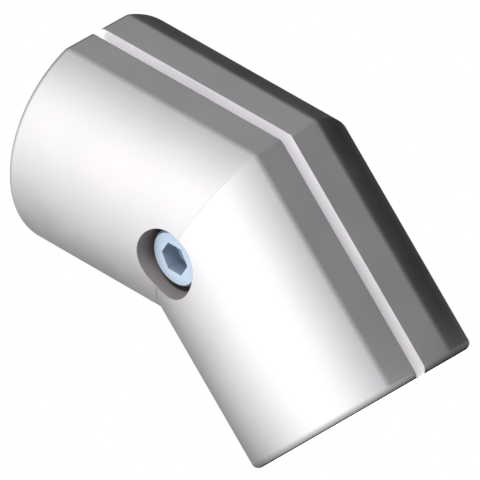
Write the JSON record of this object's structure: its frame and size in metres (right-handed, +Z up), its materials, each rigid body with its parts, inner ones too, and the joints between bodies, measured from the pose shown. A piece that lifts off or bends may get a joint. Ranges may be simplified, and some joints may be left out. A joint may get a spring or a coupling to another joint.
{
  "type": "butt fastener",
  "caption": "Split clamp body that joins round tubes end to end at a 45 degree bend, drawn together by a recessed cap screw and a captive nut.",
  "frame": {"origin": "centre of the lower socket's mouth, on the face that the part stands on", "axes": "+Z up into the lower socket, -Y towards the screw's head, and the upper socket leans 45 degrees towards -X"},
  "size_m": [0.0577, 0.04, 0.0739],
  "materials": {
    "shell_metal": "satin",
    "plated_steel": "satin"
  },
  "bodies": {
    "nut_half": {"nut_side_shell": "shell_metal", "clamp_nut": "plated_steel"},
    "screw_half": {"screw_side_shell": "shell_metal", "screw_washer": "plated_steel"},
    "screw": {"clamp_screw": "plated_steel"}
  },
  "joints": [
    {"name": "clamp_slide", "type": "slide", "parent": "nut_half", "child": "screw_half", "axis": [0, 1, 0], "range_m": [-0.003, 0.0019]},
    {"name": "screw_turn", "type": "hinge", "parent": "screw_half", "child": "screw", "pos_m": [0, 0, 0.0358], "axis": [0, 1, 0], "range_deg": [-1080, 684]}
  ],
  "couplings": [
    {"joint": "screw_turn", "follows": "clamp_slide", "rad_per_m": 6283.2}
  ]
}
